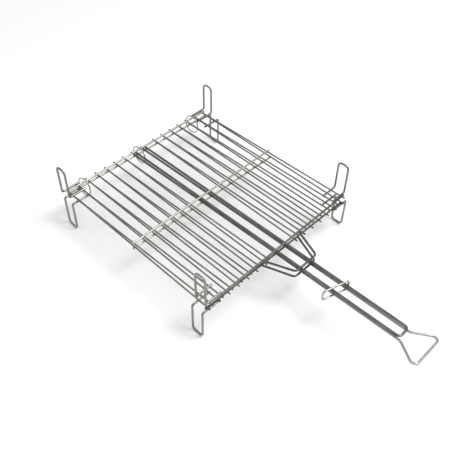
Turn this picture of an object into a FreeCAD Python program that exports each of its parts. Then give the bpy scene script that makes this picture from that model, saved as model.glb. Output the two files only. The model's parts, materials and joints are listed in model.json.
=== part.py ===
import FreeCAD, Part
import math
import os
import Sketcher

# Double wire grill basket: two wire grates joined at the back edge by loose rings, each with
# four wire legs, two nested handles and a wire ring that slides over both handles to lock them.
# X runs along the rods from the hinge edge to the handle, Y across them, Z up.
# The origin is on the floor, under the middle of the whole object.

SIZES = {
    # grates
    "RodDiameter": 3.0,
    "BarDiameter": 4.0,
    "HandleDiameter": 4.5,
    "LegDiameter": 4.0,
    "BraceDiameter": 4.0,
    "HingeRingDiameter": 2.5,
    "LockDiameter": 3.5,
    "WeldDepth": 0.3,
    "GrateWidth": 350.0,
    "InnerRodPlace": 39.5,
    "RodsPerSide": 7,
    "RodLength": 388.0,
    "BarOverhang": 3.5,
    "BackBarPlace": 9.5,
    "UpperMiddleBarPlace": 195.2,
    "LowerMiddleBarPlace": 198.4,
    "UpperFrontBarPlace": 382.3,
    "LowerFrontBarPlace": 379.3,
    # how the two grates lie on each other
    "LowerPlaneHeight": 68.6,
    "BackGap": 3.7,
    "TiltAngle": 0.8,
    "UpperTurn": 1.07,
    "UpperShift": -2.6,
    "MiddleShift": -0.47,
    # legs
    "LegTopRadius": 8.0,
    "LegBendRadius": 3.5,
    "LegReach": 27.0,
    "UpperLegHeight": 65.2,
    "UpperLegOffset": 9.4,
    "UpperBackLegPlace": 3.4,
    "UpperFrontLegPlace": 356.6,
    "UpperLegWidth": 22.0,
    "LowerLegHeight": 66.6,
    "LowerLegOffset": 12.9,
    "LowerBackLegPlace": 13.3,
    "LowerFrontLegPlace": 359.2,
    "LowerLegWidth": 23.8,
    # short handle, on the upper grate
    "ShortHandleWidth": 24.4,
    "ShortHandleStart": 6.0,
    "ShortHandleEnd": 637.8,
    "ShortHandleCorner": 7.0,
    "ShortHandleShift": 1.0,
    "ShortHandleSkew": 0.566,
    # long handle, on the lower grate
    "LongHandleWidth": 24.0,
    "LongHandleBack": -6.8,
    "LongHandleFront": 2.7,
    "LongHandleBend": 388.0,
    "LongHandleRise": 1.25,
    "FlareStart": 641.0,
    "FlareWidest": 674.4,
    "FlareEnd": 683.4,
    "FlareWidth": 66.3,
    # braces
    "BraceCorner": 8.0,
    "BraceFootPlace": 48.1,
    "BraceCornerPlace": 26.4,
    "UpperBraceLength": 56.2,
    "UpperBraceShift": -3.2,
    "LowerBraceLength": 58.1,
    "LowerBraceShift": 2.8,
    # rings
    "HingeRingRadius": 17.95,
    "HingeRingPlace": 12.5,
    "HingeRingDrop": 3.2,
    "HingeRingLean": 6.0,
    "NearRingPlace": -143.5,
    "CentreRingPlace": -8.5,
    "FarRingPlace": 135.2,
    "LockPlace": 508.8,
    "LockLength": 56.0,
    "LockHeight": 17.6,
    "LockCorner": 6.0,
    "LockYaw": 16.4,
    "LockShift": -5.5,
    "LockRise": 9.2,
}

doc = FreeCAD.newDocument("grill_basket")
sheet = doc.addObject("Spreadsheet::Sheet", "Dimensions")
for row, (alias, value) in enumerate(SIZES.items(), start=1):
    sheet.set("A%d" % row, alias)
    sheet.set("B%d" % row, str(value))
    sheet.setAlias("B%d" % row, alias)
doc.recompute()

SIDES = (("near", -1), ("far", 1))
X_AXIS = FreeCAD.Vector(1, 0, 0)
Y_AXIS = FreeCAD.Vector(0, 1, 0)
Z_AXIS = FreeCAD.Vector(0, 0, 1)
parts = []


def size(alias):
    """A driving dimension, read from the sheet."""
    return float(sheet.get(alias))


# The basket is laid out from its hinge edge, and the origin is in the middle of the whole object.
ring_outside = size("HingeRingRadius") + size("HingeRingDiameter") / 2
half_turn = math.tan(math.radians(size("UpperTurn") / 2))
back_end = size("HingeRingPlace") - size("FarRingPlace") * half_turn - ring_outside
front_end = size("FlareEnd") + size("HandleDiameter") / 2
EDGE_X = -(back_end + front_end) / 2
EDGE_Y = size("MiddleShift")
LOWER_Z = size("LowerPlaneHeight")
TILT = size("TiltAngle")
BAR_OFFSET = (size("RodDiameter") + size("BarDiameter")) / 2 - size("WeldDepth")
LEG_OFFSET = (size("RodDiameter") + size("LegDiameter")) / 2 - size("WeldDepth")
HANDLE_OFFSET = (size("BarDiameter") + size("HandleDiameter")) / 2 - size("WeldDepth") - BAR_OFFSET

# Each grate has its own frame: X along its rods from their back tips, Z towards its outer side.
# The lower grate hangs upside down under its rods. The upper one tilts up towards the handle, and
# its loose rings let it sit a little askew.
lower_frame = FreeCAD.Placement(FreeCAD.Vector(EDGE_X, EDGE_Y, LOWER_Z), FreeCAD.Rotation(X_AXIS, 180))
upper_turn = FreeCAD.Rotation(Y_AXIS, -TILT).multiply(FreeCAD.Rotation(Z_AXIS, size("UpperTurn")))
upper_frame = FreeCAD.Placement(
    FreeCAD.Vector(EDGE_X, EDGE_Y + size("UpperShift"), LOWER_Z + size("BackGap")), upper_turn
)
rest_frame = FreeCAD.Placement(FreeCAD.Vector(EDGE_X, EDGE_Y, LOWER_Z), FreeCAD.Rotation())


def keep(obj, label, frame, local=FreeCAD.Placement()):
    """Names a finished sub-part and places it in its grate's frame."""
    obj.Label = label
    obj.Placement = frame.multiply(local)
    parts.append(obj)
    return obj


def cylinder(label, frame, local, radius, height):
    """A straight piece of wire, with its sizes bound to the sheet."""
    wire = doc.addObject("Part::Cylinder", label)
    wire.setExpression("Radius", radius)
    wire.setExpression("Height", height)
    return keep(wire, label, frame, local)


def along_x(x, y, z):
    """The place of a cylinder that runs along X from this point."""
    return FreeCAD.Placement(FreeCAD.Vector(x, y, z), FreeCAD.Rotation(Y_AXIS, 90))


def along_y(x, y, z):
    """The place of a cylinder that runs along Y from this point."""
    return FreeCAD.Placement(FreeCAD.Vector(x, y, z), FreeCAD.Rotation(X_AXIS, -90))


def bent_wire(points, bend_radii, wire_radius, closed=False):
    """A round wire along straight runs, with an arc of the given radius at each corner."""
    count = len(points)
    corners = range(count) if closed else range(1, count - 1)
    entry = {}
    for i in corners:
        here, before, after = points[i], points[i - 1], points[(i + 1) % count]
        to_before = (before - here).normalize()
        to_after = (after - here).normalize()
        turn = math.pi - to_before.getAngle(to_after)
        setback = bend_radii[i] * math.tan(turn / 2)
        normal = to_after.cross(to_before).normalize()
        start = here + to_before * setback
        inward = normal.cross(to_before).normalize()
        if inward.dot(to_after) < 0:
            inward = inward * -1
        entry[i] = (start, here + to_after * setback, start + inward * bend_radii[i], normal, turn)
    pieces = []
    for i in range(count if closed else count - 1):
        j = (i + 1) % count
        start = entry[i][1] if i in entry else points[i]
        end = entry[j][0] if j in entry else points[j]
        run = end - start
        pieces.append(Part.makeCylinder(wire_radius, run.Length, start, run))
        if j in entry:
            first, last, centre, normal, turn = entry[j]
            face = Part.Face(Part.Wire(Part.makeCircle(wire_radius, first, run)))
            arc = face.revolve(centre, normal, -math.degrees(turn))
            if arc.distToShape(Part.Vertex(last))[0] > wire_radius / 2:
                arc = face.revolve(centre, normal, math.degrees(turn))
            pieces.append(arc)
    solid = pieces[0].multiFuse(pieces[1:]).removeSplitter()
    return solid.Solids[0] if len(solid.Solids) == 1 else solid


def plane_of(body, role):
    """One of a body's own origin planes."""
    return next(f for f in body.Origin.OriginFeatures if f.Role == role)


def sketch_on(body, name, role):
    """A new sketch on one of the body's origin planes."""
    sketch = body.newObject("Sketcher::SketchObject", name)
    sketch.AttachmentSupport = [(plane_of(body, role), "")]
    sketch.MapMode = "FlatFace"
    return sketch


def half_frame_body(label, outline, corner, diameter):
    """A wire frame that is the same on both sides of its XZ plane, as a body.

    The outline runs from the XZ plane outwards, in the XY plane; the wire is swept along it with
    its corners rounded, and mirrored. The ends that lie on the XZ plane join up.
    """
    body = doc.addObject("PartDesign::Body", label)
    path = sketch_on(body, label + "_path", "XY_Plane")
    lines = []
    for first, second in zip(outline, outline[1:]):
        line = Part.LineSegment(FreeCAD.Vector(*first, 0), FreeCAD.Vector(*second, 0))
        lines.append(path.addGeometry(line, False))
    for first, second in zip(lines, lines[1:]):
        path.addConstraint(Sketcher.Constraint("Coincident", first, 2, second, 1))
    doc.recompute()
    for first, second in zip(lines, lines[1:]):
        middles = [path.Geometry[i].value(path.Geometry[i].length() / 2) for i in (first, second)]
        path.fillet(first, second, middles[0], middles[1], corner)
    ring = sketch_on(body, label + "_section", "XZ_Plane")
    centre = FreeCAD.Vector(outline[0][0], 0, 0)
    circle = ring.addGeometry(Part.Circle(centre, Z_AXIS, size(diameter) / 2), False)
    ring.addConstraint(Sketcher.Constraint("Radius", circle, size(diameter) / 2))
    ring.setExpression("Constraints[0]", "Dimensions.%s / 2" % diameter)
    doc.recompute()
    pipe = body.newObject("PartDesign::AdditivePipe", label + "_wire")
    pipe.Profile = (ring, [""])
    pipe.Spine = (path, ["Edge%d" % (i + 1) for i in range(len(path.Shape.Edges))])
    doc.recompute()
    mirror = body.newObject("PartDesign::Mirrored", label + "_both_sides")
    mirror.Originals = [pipe]
    mirror.MirrorPlane = (plane_of(body, "XZ_Plane"), [""])
    body.Tip = mirror
    doc.recompute()
    return body


def solid_part(label, frame, shape, local=FreeCAD.Placement()):
    """A sub-part whose wire bends in more than one plane."""
    feature = doc.addObject("Part::Feature", label)
    feature.Shape = shape
    return keep(feature, label, frame, local)


def rods(grate, frame):
    """The straight rods of one grate, evenly spaced each side of the handle's gap."""
    per_side = int(size("RodsPerSide"))
    inner, outer = size("InnerRodPlace"), size("GrateWidth") / 2
    pitch = (outer - inner) / (per_side - 1)
    places = [-outer + pitch * i for i in range(per_side)]
    places += [inner + pitch * i for i in range(per_side)]
    for number, y in enumerate(places, start=1):
        label = "%s_rod_%02d" % (grate, number)
        # the lower frame is turned over, so its Y runs the other way
        side = y if frame is upper_frame else -y
        cylinder(label, frame, along_x(0, side, 0), "Dimensions.RodDiameter / 2", "Dimensions.RodLength")


def bars(grate, frame, middle_place, front_place):
    """The three cross bars, welded on the outer side of one grate's rods."""
    start = -(size("GrateWidth") / 2 + size("BarOverhang"))
    length = "Dimensions.GrateWidth + 2 * Dimensions.BarOverhang"
    places = (("back", "BackBarPlace"), ("middle", middle_place), ("front", front_place))
    for name, place in places:
        local = along_y(size(place), start, BAR_OFFSET)
        cylinder("%s_%s_bar" % (grate, name), frame, local, "Dimensions.BarDiameter / 2", length)


def legs(grate, frame, back_place, front_place, width, offset, height):
    """Four hairpin legs, each welded flat across the outer rods and bent up square."""
    outside = size("GrateWidth") / 2 + offset
    inside = size("GrateWidth") / 2 - size("LegReach")
    radii = [0, size("LegBendRadius")] + [size("LegTopRadius")] * 2 + [size("LegBendRadius"), 0]
    for end, place in (("back", back_place), ("front", front_place)):
        for side, sign in SIDES:
            turned = sign if frame is upper_frame else -sign
            first, second = place, place + width
            outline = [
                (first, inside, LEG_OFFSET),
                (first, outside, LEG_OFFSET),
                (first, outside, height),
                (second, outside, height),
                (second, outside, LEG_OFFSET),
                (second, inside, LEG_OFFSET),
            ]
            points = [FreeCAD.Vector(x, y * turned, z) for x, y, z in outline]
            shape = bent_wire(points, radii, size("LegDiameter") / 2)
            solid_part("%s_leg_%s_%s" % (grate, end, side), frame, shape)


def short_handle():
    """The squared U of the upper grate's handle, welded under its bars."""
    half = size("ShortHandleWidth") / 2
    length = size("ShortHandleEnd") - size("ShortHandleStart")
    outline = [(length, 0), (length, half), (0, half)]
    corner = size("ShortHandleCorner")
    body = half_frame_body("short_handle", outline, corner, "HandleDiameter")
    place = FreeCAD.Vector(size("ShortHandleStart"), size("ShortHandleShift"), -HANDLE_OFFSET)
    turn = FreeCAD.Rotation(Z_AXIS, -size("ShortHandleSkew"))
    keep(body, "short_handle", upper_frame, FreeCAD.Placement(place, turn))


def long_handle():
    """The lower grate's handle: one wire that ends in a three-cornered hanging loop."""
    half = size("LongHandleWidth") / 2
    front = size("LongHandleBend")
    slope = math.tan(math.radians(size("LongHandleRise")))

    def point(x, y):
        share = min(x / front, 1)
        centre = size("LongHandleBack") + (size("LongHandleFront") - size("LongHandleBack")) * share
        return FreeCAD.Vector(x, centre + y, HANDLE_OFFSET + max(x - front, 0) * slope)

    flare = size("FlareWidth") / 2
    side = [(0, half, 0), (front, half, 60), (size("FlareStart"), half, 16)]
    side += [(size("FlareWidest"), flare, 6), (size("FlareEnd"), flare - 3, 5)]
    points = [point(x, y) for x, y, _ in side] + [point(x, -y) for x, y, _ in reversed(side)]
    radii = [r for _, _, r in side] + [r for _, _, r in reversed(side)]
    shape = bent_wire(points, radii, size("HandleDiameter") / 2)
    solid_part("long_handle", rest_frame, shape)


def brace(label, frame, bar_place, reach, shift):
    """A bent wire from the front bar, round in front of it and across the handle's wires."""
    outline = [(reach, 0), (reach, size("BraceCornerPlace")), (0, size("BraceFootPlace"))]
    body = half_frame_body(label, outline, size("BraceCorner"), "BraceDiameter")
    place = FreeCAD.Vector(bar_place, shift, BAR_OFFSET)
    keep(body, label, frame, FreeCAD.Placement(place, FreeCAD.Rotation()))


def hinge_rings():
    """Three loose rings that hold the two back bars together."""
    places = (
        ("near", size("NearRingPlace")),
        ("centre", size("CentreRingPlace")),
        ("far", size("FarRingPlace")),
    )
    for name, y in places:
        label = "hinge_ring_" + name
        ring = doc.addObject("Part::Torus", label)
        ring.setExpression("Radius1", "Dimensions.HingeRingRadius")
        ring.setExpression("Radius2", "Dimensions.HingeRingDiameter / 2")
        lean = 0 if name == "centre" else size("HingeRingLean")
        turn = FreeCAD.Rotation(X_AXIS, 90 - lean)
        x = size("HingeRingPlace") - y * half_turn
        place = FreeCAD.Vector(x, y, -size("HingeRingDrop"))
        keep(ring, label, rest_frame, FreeCAD.Placement(place, turn))


def locking_ring():
    """The rounded oblong wire ring that slides over both handles."""
    wire = size("LockDiameter")
    half_long, half_high = (size("LockLength") - wire) / 2, (size("LockHeight") + wire) / 2
    outline = [(half_high, 0), (half_high, half_long), (-half_high, half_long), (-half_high, 0)]
    corner = size("LockCorner")
    body = half_frame_body("locking_ring", outline, corner, "LockDiameter")
    place = FreeCAD.Vector(size("LockPlace"), size("LockShift"), size("LockRise"))
    lean = (TILT + size("LongHandleRise")) / 2
    turn = FreeCAD.Rotation(Z_AXIS, -size("LockYaw")).multiply(FreeCAD.Rotation(Y_AXIS, -90 - lean))
    keep(body, "locking_ring", rest_frame, FreeCAD.Placement(place, turn))


rods("lower", lower_frame)
rods("upper", upper_frame)
bars("lower", lower_frame, "LowerMiddleBarPlace", "LowerFrontBarPlace")
bars("upper", upper_frame, "UpperMiddleBarPlace", "UpperFrontBarPlace")
legs("lower", lower_frame, size("LowerBackLegPlace"), size("LowerFrontLegPlace"),
     size("LowerLegWidth"), size("LowerLegOffset"), size("LowerLegHeight"))
legs("upper", upper_frame, size("UpperBackLegPlace"), size("UpperFrontLegPlace"),
     size("UpperLegWidth"), size("UpperLegOffset"), size("UpperLegHeight"))
short_handle()
long_handle()
brace("upper_brace", upper_frame, size("UpperFrontBarPlace"), size("UpperBraceLength"),
      size("UpperBraceShift"))
brace("lower_brace", lower_frame, size("LowerFrontBarPlace"), size("LowerBraceLength"),
      -size("LowerBraceShift"))
hinge_rings()
locking_ring()
doc.recompute()

faults = [o.Name for o in doc.Objects if "Invalid" in o.State or "Error" in o.State]
for obj in parts:
    shape = obj.Shape
    if shape.isNull() or not shape.isValid() or len(shape.Solids) != 1:
        faults.append(obj.Label)
if faults:
    raise RuntimeError("these objects failed: " + ", ".join(faults))

os.makedirs("parts", exist_ok=True)
for obj in parts:
    obj.Shape.exportStep("parts/%s.step" % obj.Label)
print("%d sub-parts written, hinge edge at x = %.2f mm" % (len(parts), EDGE_X))
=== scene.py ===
import bpy
import json
import math
from mathutils import Matrix, Vector, noise


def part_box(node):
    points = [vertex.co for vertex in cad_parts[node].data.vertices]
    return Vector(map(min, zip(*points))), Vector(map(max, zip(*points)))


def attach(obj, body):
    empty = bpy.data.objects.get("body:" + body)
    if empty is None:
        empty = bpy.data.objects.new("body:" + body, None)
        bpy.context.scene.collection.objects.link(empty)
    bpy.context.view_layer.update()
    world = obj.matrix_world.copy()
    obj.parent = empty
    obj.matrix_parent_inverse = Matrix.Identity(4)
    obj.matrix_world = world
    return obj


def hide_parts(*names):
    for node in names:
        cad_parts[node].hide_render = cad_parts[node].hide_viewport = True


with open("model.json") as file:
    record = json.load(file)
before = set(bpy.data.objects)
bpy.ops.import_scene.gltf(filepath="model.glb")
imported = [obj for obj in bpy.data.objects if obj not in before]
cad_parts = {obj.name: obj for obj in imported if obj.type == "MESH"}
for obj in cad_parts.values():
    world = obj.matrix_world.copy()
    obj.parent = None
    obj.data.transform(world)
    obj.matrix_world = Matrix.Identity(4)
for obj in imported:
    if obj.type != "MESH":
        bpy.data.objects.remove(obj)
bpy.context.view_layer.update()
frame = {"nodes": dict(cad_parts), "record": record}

RECORD = frame["record"]
NODES = frame["nodes"]
BODIES = RECORD["behaviour"]["bodies"]
BODY_OF = {node: body for body, members in BODIES.items() for node in members}
WELDS = RECORD["behaviour"]["press_fits"]
MM = 0.001

# The weld metal's half sizes along X, Y and Z.
ROD_WELD = (2.0 * MM, 1.75 * MM, 1.05 * MM)
BAR_WELD = (2.3 * MM, 2.1 * MM, 1.2 * MM)
BRACE_WELD = (2.5 * MM, 2.6 * MM, 1.25 * MM)
HANDLE_SEAM = (2.36 * MM, 1.7 * MM, 2.36 * MM)
HINGE_RING_SEAM = (1.1 * MM, 1.38 * MM, 1.38 * MM)
LOCK_RING_SEAM = (1.9 * MM, 1.5 * MM, 1.9 * MM)

# Radii of the bent wires.
BRACE_RADIUS = 2.0 * MM
HANDLE_RADIUS = 2.25 * MM
HINGE_RING_RADIUS = 1.25 * MM
LOCK_RING_RADIUS = 1.75 * MM

# Where a weld's centre lies, from one wire's centre (0) to the other's (1).
ROD_WELD_PLACE = 0.47
BAR_WELD_PLACE = 0.5
BRACE_WELD_PLACE = 0.47
HANDLE_SEAM_DEPTH = 1.9 * MM  # below the top of the handle's wire

# Points on a cut through a bent wire that are further apart than the gap belong to two sections.
# Wires whose centres are further apart than the reach don't touch there, and a rod's weld may lie
# past its end by the overhang.
SECTION_GAP = 2 * MM
CONTACT_REACH = 5 * MM
ROD_OVERHANG = 2 * MM

# The highest or lowest points of a ring, and the furthest ones of the handle, within this depth.
RING_BAND = 0.3 * MM
TIP_BAND = 1 * MM

# A straight wire has a circle of vertices at every step, at the end places and beside its welds.
# Only the end places come within the margin of an end, and no two circles within the least gap.
SIDES = 16
STEP = 6 * MM
END_PLACES = (0.0, 0.12 * MM, 0.35 * MM, 0.8 * MM)
END_MARGIN = 1.5 * MM
LEAST_GAP = 0.1 * MM

# Cut ends are rounded over: within each distance of an end, the wire keeps a share of its radius.
DOME_REACH = 0.7 * MM
DOME = ((0.1 * MM, 0.62), (0.3 * MM, 0.84), (DOME_REACH, 0.96))

# How far along a wire a weld presses it in and scorches it, and over what length from each end
# the wire's waviness builds up.
PRESS_REACH = 1.6 * MM
SCORCH_REACH = 4.5 * MM
CALM_REACH = 20 * MM

UNEVEN_RADIUS = 0.006
UNEVEN_NUGGET = 0.14
CUT_HEAT = 0.35
WELD_HEAT = 0.9
BAR_SALT = 50  # keeps the bars' waviness different from the rods'

# ---------------------------------------------------------------- reading the frame


def section_centres(node, axis, value):
    """The centres of the round sections where a wire node meets a plane."""
    vertices = NODES[node].data.vertices
    across = 1 if axis == 0 else 0
    hits = []
    for edge in NODES[node].data.edges:
        a, b = (vertices[i].co for i in edge.vertices)
        if (a[axis] - value) * (b[axis] - value) > 0 or a[axis] == b[axis]:
            continue
        hits.append(a.lerp(b, (value - a[axis]) / (b[axis] - a[axis])))
    hits.sort(key=lambda hit: hit[across])
    sections = []
    for hit in hits:
        if sections and hit[across] - sections[-1][-1][across] < SECTION_GAP:
            sections[-1].append(hit)
        else:
            sections.append([hit])
    centres = []
    for section in sections:
        low = Vector([min(hit[i] for hit in section) for i in range(3)])
        high = Vector([max(hit[i] for hit in section) for i in range(3)])
        centres.append((low + high) / 2)
    return centres


def straight_wire(node, axis):
    """The two end centres and the radius of a straight, nearly level wire node, which has its
    vertices on its two end circles.
    """
    low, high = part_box(node)
    middle = (low[axis] + high[axis]) / 2
    ends = []
    for side in (-1, 1):
        points = [v.co for v in NODES[node].data.vertices if (v.co[axis] - middle) * side > 0]
        bottom = Vector([min(p[i] for p in points) for i in range(3)])
        top = Vector([max(p[i] for p in points) for i in range(3)])
        ends.append((bottom + top) / 2)
    return ends[0], ends[1], (top.z - bottom.z) / 2


def grate_of(node):
    """Which grate's weld spots a node's welds belong to."""
    return "upper" if BODY_OF[node] == "upper_half" else "lower"


def crossings(start, end, other, cut_axis):
    """The centres of another wire's sections where it passes over this straight wire."""
    along = (end - start).normalized()
    found = []
    for rough in section_centres(other, cut_axis, (start[cut_axis] + end[cut_axis]) / 2):
        foot = start + along * (rough - start).dot(along)
        centres = section_centres(other, cut_axis, foot[cut_axis])
        if not centres:
            continue
        centre = min(centres, key=lambda c: (c - rough).length)
        foot = start + along * (centre - start).dot(along)
        if (centre - foot).length < CONTACT_REACH:
            found.append(centre)
    return found


def extreme_point(node, side, radius):
    """The wire's centre at the lowest (side -1) or highest (side 1) place of a ring."""
    reach = max(v.co.z * side for v in NODES[node].data.vertices)
    near = [v.co for v in NODES[node].data.vertices if v.co.z * side > reach - RING_BAND]
    x = sum(p.x for p in near) / len(near)
    y = sum(p.y for p in near) / len(near)
    return Vector((x, y, (reach - radius) * side))


# ---------------------------------------------------------------- wire meshes


def frames_along(path):
    """A pair of cross directions at each point of a path, turned as little as possible."""
    last = len(path) - 1
    tangents = [
        (path[min(i + 1, last)] - path[max(i - 1, 0)]).normalized() for i in range(len(path))
    ]
    seed = Vector((0, 0, 1)) if abs(tangents[0].z) < 0.9 else Vector((1, 0, 0))
    side = tangents[0].cross(seed).normalized()
    frames = []
    for tangent in tangents:
        side = (side - tangent * side.dot(tangent)).normalized()
        frames.append((side, tangent.cross(side).normalized()))
    return frames


def heated_piece(name, vertices, faces, heat):
    """A smooth-shaded piece, with a heat value at each vertex for the material to scorch."""
    mesh = bpy.data.meshes.new(name)
    mesh.from_pydata(vertices, [], faces)
    mesh.update()
    mesh.polygons.foreach_set("use_smooth", [True] * len(mesh.polygons))
    attribute = mesh.attributes.new("heat", "FLOAT", "POINT")
    attribute.data.foreach_set("value", heat)
    piece = bpy.data.objects.new(name, mesh)
    bpy.context.scene.collection.objects.link(piece)
    return piece


def wire_piece(name, path, radii, heat):
    """A round wire along a path, with a radius and a heat at each point, closed at both ends."""
    vertices, faces, values = [], [], []
    for point, (side, up), radius, warmth in zip(path, frames_along(path), radii, heat):
        for k in range(SIDES):
            angle = 2 * math.pi * k / SIDES
            vertices.append(point + (side * math.cos(angle) + up * math.sin(angle)) * radius)
            values.append(warmth)
    last = len(path) - 1
    for i in range(last):
        for k in range(SIDES):
            n = (k + 1) % SIDES
            here, there = i * SIDES, (i + 1) * SIDES
            faces.append((here + k, here + n, there + n, there + k))
    for ring, flip in ((0, True), (last, False)):
        centre = len(vertices)
        vertices.append(path[ring])
        values.append(heat[ring])
        for k in range(SIDES):
            a, b = ring * SIDES + k, ring * SIDES + (k + 1) % SIDES
            faces.append((b, a, centre) if flip else (a, b, centre))
    return heated_piece(name, vertices, faces, values)


def nearness(place, places, reach):
    """How close a place along a wire is to the nearest of its welds, from 0 to 1."""
    return max((math.exp(-(((place - w) / reach) ** 2)) for w in places), default=0.0)


def cut_wire(name, start, end, radius, weld_places, salt, sway=0.10 * MM, squash=0.06):
    """A straightened and sheared wire: never quite true, pressed in a little at its welds, with
    its cut ends rounded over. Places along it are measured from its start.
    """
    length = (end - start).length
    along = (end - start).normalized()
    up = Vector((0, 0, 1))
    across = along.cross(up).normalized()
    places = set(END_PLACES)
    places |= {length - place for place in places}
    far = length - END_MARGIN
    places |= {STEP * i for i in range(1, int(length / STEP)) if STEP * i < far}
    for weld in weld_places:
        beside = {weld + d * MM for d in range(-3, 4)}
        places |= {place for place in beside if END_MARGIN < place < far}
    ordered = []
    for place in sorted(places):
        if not ordered or place - ordered[-1] > LEAST_GAP:
            ordered.append(place)
    path, radii, heat = [], [], []
    for place in ordered:
        edge = min(place, length - place)
        calm = min(1.0, edge / CALM_REACH)
        phase = Vector((place * 9, salt * 3.7, 0.0))
        bend_across = noise.noise(phase) * sway * calm
        bend_up = noise.noise(phase + Vector((0, 0, 5.3))) * sway * calm
        path.append(start + along * place + across * bend_across + up * bend_up)
        dome = next((share for reach, share in DOME if edge < reach), 1.0)
        press = 1 - squash * nearness(place, weld_places, PRESS_REACH)
        radii.append(radius * dome * press * (1 + UNEVEN_RADIUS * noise.noise(phase * 2.1)))
        cut_heat = CUT_HEAT if edge < DOME_REACH else 0.0
        heat.append(min(1.0, nearness(place, weld_places, SCORCH_REACH) + cut_heat))
    return wire_piece(name, path, radii, heat)


def nugget(centre, size, salt):
    """A small lens of squeezed weld metal, as (vertices, faces)."""
    rows, columns = 7, 12
    vertices, faces = [], []
    for i in range(rows + 1):
        polar = math.pi * i / rows
        for k in range(columns):
            angle = 2 * math.pi * k / columns
            if i in (0, rows) and k:
                continue
            out = math.sin(polar)
            unit = Vector((out * math.cos(angle), out * math.sin(angle), math.cos(polar)))
            swell = 1 + UNEVEN_NUGGET * noise.noise(unit * 1.7 + Vector((salt, salt * 0.3, 0)))
            stretched = Vector([unit[axis] * size[axis] for axis in range(3)])
            vertices.append(centre + stretched * swell)
    first = 1
    for k in range(columns):
        n = (k + 1) % columns
        faces.append((0, first + k, first + n))
        for i in range(rows - 2):
            a = first + i * columns
            faces.append((a + k, a + columns + k, a + columns + n, a + n))
        last = first + (rows - 2) * columns
        faces.append((len(vertices) - 1, last + n, last + k))
    return vertices, faces


def welds_piece(name, spots):
    """A group of weld spots or seams, each a (centre, half sizes) pair, as one piece."""
    vertices, faces = [], []
    for number, (centre, size) in enumerate(spots):
        more, sides = nugget(centre, size, number * 1.37)
        faces += [tuple(i + len(vertices) for i in face) for face in sides]
        vertices += more
    return heated_piece(name, vertices, faces, [WELD_HEAT] * len(vertices))


# ---------------------------------------------------------------- materials


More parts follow.
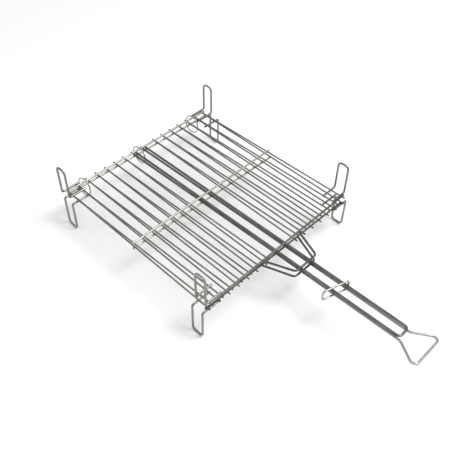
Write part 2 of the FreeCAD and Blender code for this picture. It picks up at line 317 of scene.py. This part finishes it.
def wire_material(name, base, tint, heat_colour, roughness, grain, streak, highlight_tone=None):
    """Bright plated wire: drawn lines along it, cloudy plating, and a dull scorched tone at welds.

    Given a second, lighter tone, the wire blends into it along X from 0.10 to 0.33 m, towards the
    hanging loop: a painted highlight there.
    """
    material = bpy.data.materials.new(name)
    material.use_nodes = True
    nodes, links = material.node_tree.nodes, material.node_tree.links
    shader = nodes["Principled BSDF"]
    shader.inputs["Metallic"].default_value = 1.0

    place = nodes.new("ShaderNodeTexCoord")
    stretch = nodes.new("ShaderNodeMapping")
    stretch.inputs["Scale"].default_value = grain
    links.new(place.outputs["Object"], stretch.inputs["Vector"])

    lines = nodes.new("ShaderNodeTexNoise")
    lines.inputs["Scale"].default_value = 1.0
    lines.inputs["Detail"].default_value = 3.0
    links.new(stretch.outputs["Vector"], lines.inputs["Vector"])

    clouds = nodes.new("ShaderNodeTexNoise")
    clouds.inputs["Scale"].default_value = 38.0
    clouds.inputs["Detail"].default_value = 5.0
    clouds.inputs["Roughness"].default_value = 0.62
    links.new(place.outputs["Object"], clouds.inputs["Vector"])

    spread = nodes.new("ShaderNodeMapRange")
    spread.inputs["From Min"].default_value = 0.36
    spread.inputs["From Max"].default_value = 0.66
    links.new(clouds.outputs["Fac"], spread.inputs["Value"])

    colour = nodes.new("ShaderNodeMix")
    colour.data_type = "RGBA"
    colour.inputs["A"].default_value = (*base, 1)
    colour.inputs["B"].default_value = (*tint, 1)
    links.new(spread.outputs["Result"], colour.inputs["Factor"])

    # painted highlight: from X 0.10 to 0.33 m the colour blends into the lighter tone towards the
    # hanging loop
    if highlight_tone:
        split = nodes.new("ShaderNodeSeparateXYZ")
        links.new(place.outputs["Object"], split.inputs["Vector"])
        highlight_share = nodes.new("ShaderNodeMapRange")
        highlight_share.inputs["From Min"].default_value = 0.10
        highlight_share.inputs["From Max"].default_value = 0.33
        links.new(split.outputs["X"], highlight_share.inputs["Value"])
        plain_colour = colour
        colour = nodes.new("ShaderNodeMix")
        colour.data_type = "RGBA"
        colour.inputs["B"].default_value = (*highlight_tone, 1)
        links.new(highlight_share.outputs["Result"], colour.inputs["Factor"])
        links.new(plain_colour.outputs["Result"], colour.inputs["A"])

    heat = nodes.new("ShaderNodeAttribute")
    heat.attribute_name = "heat"
    patchy = nodes.new("ShaderNodeMath")
    patchy.operation = "MULTIPLY"
    links.new(heat.outputs["Fac"], patchy.inputs[0])
    patch = nodes.new("ShaderNodeMapRange")
    patch.inputs["From Min"].default_value = 0.3
    patch.inputs["From Max"].default_value = 0.7
    patch.inputs["To Min"].default_value = 0.45
    links.new(clouds.outputs["Fac"], patch.inputs["Value"])
    links.new(patch.outputs["Result"], patchy.inputs[1])
    scorched = nodes.new("ShaderNodeMix")
    scorched.data_type = "RGBA"
    scorched.inputs["B"].default_value = (*heat_colour, 1)
    links.new(patchy.outputs["Value"], scorched.inputs["Factor"])
    links.new(colour.outputs["Result"], scorched.inputs["A"])
    links.new(scorched.outputs["Result"], shader.inputs["Base Color"])

    dull = nodes.new("ShaderNodeMapRange")
    dull.inputs["From Min"].default_value = 0.3
    dull.inputs["From Max"].default_value = 0.7
    dull.inputs["To Min"].default_value = roughness[0]
    dull.inputs["To Max"].default_value = roughness[1]
    links.new(lines.outputs["Fac"], dull.inputs["Value"])
    rougher = nodes.new("ShaderNodeMath")
    rougher.operation = "MULTIPLY_ADD"
    rougher.inputs[1].default_value = 0.22
    links.new(patchy.outputs["Value"], rougher.inputs[0])
    links.new(dull.outputs["Result"], rougher.inputs[2])
    links.new(rougher.outputs["Value"], shader.inputs["Roughness"])

    pits = nodes.new("ShaderNodeTexNoise")
    pits.inputs["Scale"].default_value = 900.0
    pits.inputs["Detail"].default_value = 2.0
    links.new(place.outputs["Object"], pits.inputs["Vector"])
    relief = nodes.new("ShaderNodeMath")
    relief.operation = "MULTIPLY_ADD"
    relief.inputs[1].default_value = streak
    links.new(lines.outputs["Fac"], relief.inputs[0])
    links.new(pits.outputs["Fac"], relief.inputs[2])
    bump = nodes.new("ShaderNodeBump")
    bump.inputs["Strength"].default_value = 0.22
    bump.inputs["Distance"].default_value = 0.00012
    links.new(relief.outputs["Value"], bump.inputs["Height"])
    links.new(bump.outputs["Normal"], shader.inputs["Normal"])
    return material


# The scale of the drawn lines' noise on each axis: long along the wire and fine across it.
ALONG_X = (18, 1500, 1500)
ALONG_Y = (1500, 18, 1500)
ALONG_Z = (1500, 1500, 18)
MIXED = (500, 500, 500)

# Tones, and pairs of the least and greatest roughness.
SCORCH = (0.075, 0.062, 0.048)
# The handles' own tones, and a lighter tone for the long handle's loop end that is a painted
# highlight.
HANDLE_TONE, HANDLE_TINT = (0.19, 0.187, 0.18), (0.12, 0.117, 0.108)
LOOP_HIGHLIGHT = (0.42, 0.42, 0.41)
SMOOTH, WORN = (0.20, 0.34), (0.26, 0.42)

DARK_BAR = wire_material(
    "front_bar_wire", (0.20, 0.19, 0.18), (0.12, 0.11, 0.10), SCORCH, WORN, ALONG_Y, 1.2
)
ROD = wire_material(
    "rod_wire", (0.25, 0.24, 0.225), (0.16, 0.15, 0.13), SCORCH, (0.20, 0.36), ALONG_X, 1.2
)
BAR = wire_material(
    "cross_bar_wire", (0.50, 0.49, 0.465), (0.37, 0.355, 0.325), SCORCH, WORN, ALONG_Y, 1.2
)
SHORT_HANDLE = wire_material("short_handle_wire", HANDLE_TONE, HANDLE_TINT, SCORCH, SMOOTH, ALONG_X, 1.0)
# The long handle lightens towards its hanging loop: a painted highlight.
LONG_HANDLE = wire_material(
    "long_handle_wire", HANDLE_TONE, HANDLE_TINT, SCORCH, SMOOTH, ALONG_X, 1.0, highlight_tone=LOOP_HIGHLIGHT
)
LEG = wire_material(
    "leg_wire", (0.30, 0.30, 0.292), (0.20, 0.20, 0.188), SCORCH, SMOOTH, ALONG_Z, 1.0
)
BRACE = wire_material(
    "brace_wire", (0.17, 0.167, 0.16), (0.11, 0.107, 0.10), SCORCH, SMOOTH, MIXED, 0.6
)
RING = wire_material(
    "ring_wire", (0.45, 0.45, 0.44), (0.34, 0.33, 0.32), SCORCH, (0.18, 0.32), MIXED, 0.6
)
WELD = wire_material(
    "weld_metal", (0.30, 0.29, 0.275), (0.20, 0.19, 0.17), SCORCH, (0.34, 0.52), MIXED, 1.6
)


def finish_piece(piece, material, slot, body, *replaced):
    """Gives a new piece its material, its body and the nodes it stands for; the slot is not used.
    """
    piece.data.materials.clear()
    piece.data.materials.append(material)
    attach(piece, body)
    if replaced:
        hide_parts(*replaced)


# ---------------------------------------------------------------- rods, bars and welds

# the nodes that each node is welded to, and each grate's weld spots as (centre, half sizes) pairs
welded_to = {node: set() for node in NODES}
for first, second in WELDS:
    welded_to[first].add(second)
    welded_to[second].add(first)
spots = {"lower": [], "upper": []}

for number, node in enumerate(sorted(n for n in NODES if "_rod_" in n)):
    start, end, radius = straight_wire(node, 0)
    along = (end - start).normalized()
    welds = []
    for other in sorted(welded_to[node]):
        for centre in crossings(start, end, other, 1):
            place = (centre - start).dot(along)
            if not -ROD_OVERHANG < place < (end - start).length + ROD_OVERHANG:
                continue
            welds.append(place)
            joint = (start + along * place).lerp(centre, ROD_WELD_PLACE)
            spots[grate_of(node)].append((joint, ROD_WELD))
    piece = cut_wire(node + "_wire", start, end, radius, welds, number)
    finish_piece(piece, ROD, "rods", BODY_OF[node], node)

for number, node in enumerate(sorted(n for n in NODES if n.endswith("_bar"))):
    start, end, radius = straight_wire(node, 1)
    along = (end - start).normalized()
    welds = []
    for other in sorted(welded_to[node]):
        for centre in crossings(start, end, other, 0):
            place = (centre - start).dot(along)
            if 0 < place < end.y - start.y:
                welds.append(place)
            if "_rod_" not in other and "brace" not in other:
                joint = (start + along * place).lerp(centre, BAR_WELD_PLACE)
                spots[grate_of(node)].append((joint, BAR_WELD))
    salt = BAR_SALT + number
    piece = cut_wire(node + "_wire", start, end, radius, welds, salt, sway=0.08 * MM, squash=0.04)
    tone = DARK_BAR if "front" in node else BAR
    finish_piece(piece, tone, "cross_bars", BODY_OF[node], node)

# each brace lies across its handle's two wires
for grate, handle in (("upper", "short_handle"), ("lower", "long_handle")):
    low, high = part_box(grate + "_brace")
    front = high[0] - BRACE_RADIUS
    height = high[2] - BRACE_RADIUS if grate == "upper" else low[2] + BRACE_RADIUS
    for centre in section_centres(handle, 0, front):
        joint = Vector((front, centre.y, height)).lerp(centre, BRACE_WELD_PLACE)
        spots[grate].append((joint, BRACE_WELD))

# the long handle's wire ends meet in the middle of the hanging loop's end
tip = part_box("long_handle")[1][0]
loop_end = [v.co for v in NODES["long_handle"].data.vertices if v.co.x > tip - TIP_BAND]
middle = (min(p.y for p in loop_end) + max(p.y for p in loop_end)) / 2
height = max(p.z for p in loop_end) - HANDLE_SEAM_DEPTH
spots["lower"].append((Vector((tip - HANDLE_RADIUS, middle, height)), HANDLE_SEAM))

# the rings are closed by a butt weld, at the bottom of the hinge rings and the top of the lock
ring_seams = [
    (extreme_point("hinge_ring_" + place, -1, HINGE_RING_RADIUS), HINGE_RING_SEAM)
    for place in ("near", "centre", "far")
]
finish_piece(welds_piece("hinge_ring_seams", ring_seams), WELD, "loose_rings", "hinge_rings")
lock_seam = [(extreme_point("locking_ring", 1, LOCK_RING_RADIUS), LOCK_RING_SEAM)]
finish_piece(welds_piece("locking_ring_seam", lock_seam), WELD, "loose_rings", "locking_ring")

for grate, places in spots.items():
    piece = welds_piece(grate + "_weld_spots", places)
    finish_piece(piece, WELD, "rods", grate + "_half")

# ---------------------------------------------------------------- bent wires, kept from the frame

for node, piece in NODES.items():
    material = None
    if "_leg_" in node:
        material = LEG
    elif node.endswith("_handle"):
        material = SHORT_HANDLE if node == "short_handle" else LONG_HANDLE
    elif node.endswith("_brace"):
        material = BRACE
    elif "ring" in node:
        material = RING
    if material:
        piece.data.materials.clear()
        piece.data.materials.append(material)

# ---------------------------------------------------------------- floor, light and camera

FLOOR_REACH = 6.0
floor_mesh = bpy.data.meshes.new("floor")
corners = [(x * FLOOR_REACH, y * FLOOR_REACH, 0) for x, y in ((-1, -1), (1, -1), (1, 1), (-1, 1))]
floor_mesh.from_pydata(corners, [], [(0, 1, 2, 3)])
floor = bpy.data.objects.new("floor", floor_mesh)
bpy.context.scene.collection.objects.link(floor)
paper = bpy.data.materials.new("floor_paper")
paper.use_nodes = True
paper_shader = paper.node_tree.nodes["Principled BSDF"]
paper_shader.inputs["Base Color"].default_value = (0.93, 0.93, 0.93, 1)
paper_shader.inputs["Roughness"].default_value = 0.9
paper_shader.inputs["Specular IOR Level"].default_value = 0.0
floor_mesh.materials.append(paper)

world = bpy.data.worlds.new("studio")
bpy.context.scene.world = world
world.use_nodes = True
world.node_tree.nodes["Background"].inputs["Color"].default_value = (1, 1, 1, 1)
world.node_tree.nodes["Background"].inputs["Strength"].default_value = 0.68


def softbox(name, place, size, power):
    """A square soft light that points at the middle of the floor."""
    light = bpy.data.lights.new(name, "AREA")
    light.shape = "SQUARE"
    light.size = size
    light.energy = power
    box = bpy.data.objects.new(name, light)
    box.location = place
    box.rotation_mode = "QUATERNION"
    box.rotation_quaternion = (-Vector(place)).to_track_quat("-Z", "Y")
    bpy.context.scene.collection.objects.link(box)


softbox("key_light", (0.85, 0.75, 2.5), size=1.0, power=42)
softbox("fill_light", (-1.2, -2.2, 2.6), size=2.2, power=12)

EYE_PLACE = (0.49523, -0.60988, 0.91861)
EYE_RIGHT = (0.722985, 0.689472, 0.043820)
EYE_DOWN = (0.525422, -0.507560, -0.682873)
camera = bpy.data.cameras.new("camera")
camera.sensor_width = 36.0
camera.lens = 49.792
camera.shift_x = -0.0275
camera.shift_y = -0.0072
camera.clip_start = 0.05
camera.clip_end = 50.0
eye = bpy.data.objects.new("camera", camera)
bpy.context.scene.collection.objects.link(eye)
right = Vector(EYE_RIGHT).normalized()
down = Vector(EYE_DOWN)
up = -(down - right * down.dot(right)).normalized()
back = right.cross(up)
turned = Matrix((right, up, back)).transposed().to_4x4()
eye.matrix_world = Matrix.Translation(EYE_PLACE) @ turned
bpy.context.scene.camera = eye
bpy.context.scene.view_settings.view_transform = "Standard"
